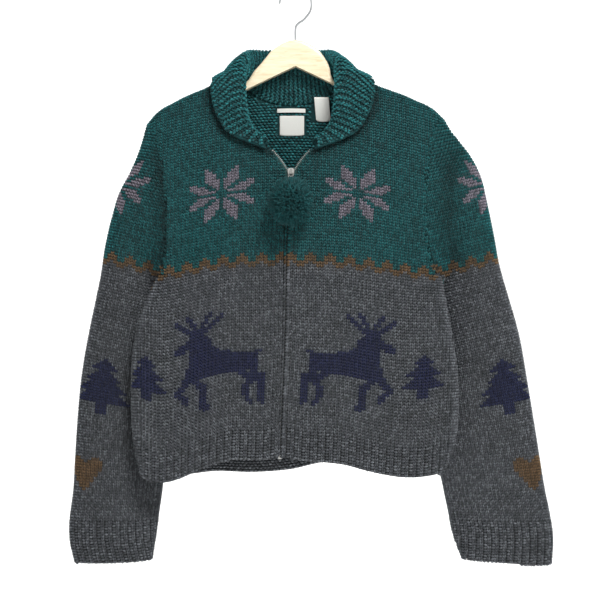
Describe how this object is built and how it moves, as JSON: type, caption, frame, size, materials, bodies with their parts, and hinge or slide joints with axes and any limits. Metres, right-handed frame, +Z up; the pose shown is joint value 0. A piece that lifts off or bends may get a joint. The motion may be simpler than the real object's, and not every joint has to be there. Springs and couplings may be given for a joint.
{
  "type": "cowichan cardigan on a wooden hanger",
  "caption": "Heavy knitted zip cardigan with a shawl collar, pictorial wool pattern and a pompom on the zip's pull, hanging on a wooden hanger with a steel hook.",
  "frame": {"origin": "inside top of the hanger's hook, where a rail carries it", "axes": "+Z up, -Y out of the garment's front, +X towards the wearer's left side"},
  "size_m": [0.7238, 0.1526, 0.8643],
  "materials": {
    "grey_wool": "charcoal marl wool, matte",
    "green_wool": "dark green wool, matte",
    "pompom_wool": "cut wool pile, matte",
    "zip_tape": "woven tape",
    "zip_metal": "silver coloured, smooth",
    "label_cotton": "white woven cotton, blank",
    "hanger_wood": "light varnished wood",
    "hook_steel": "bright plated steel"
  },
  "bodies": {
    "garment": {"back": "grey_wool", "front_right": "grey_wool", "front_left": "grey_wool", "sleeve_right": "grey_wool", "sleeve_left": "grey_wool", "collar": "green_wool", "zip_tape_right": "zip_tape", "zip_tape_left": "zip_tape", "zip_slider": "zip_metal", "zip_box": "zip_metal", "neck_label": "label_cotton", "neck_loop": "label_cotton", "size_tag": "label_cotton", "hanger": "hanger_wood", "hanger_hook": "hook_steel"},
    "pull": {"zip_pull": "zip_metal", "pompom": "pompom_wool"}
  },
  "joints": [
    {"name": "pull_swing", "type": "hinge", "parent": "garment", "child": "pull", "pos_m": [-0.0065, -0.04426, -0.2807], "axis": [-1, 0, 0], "range_deg": [0, 100]}
  ]
}
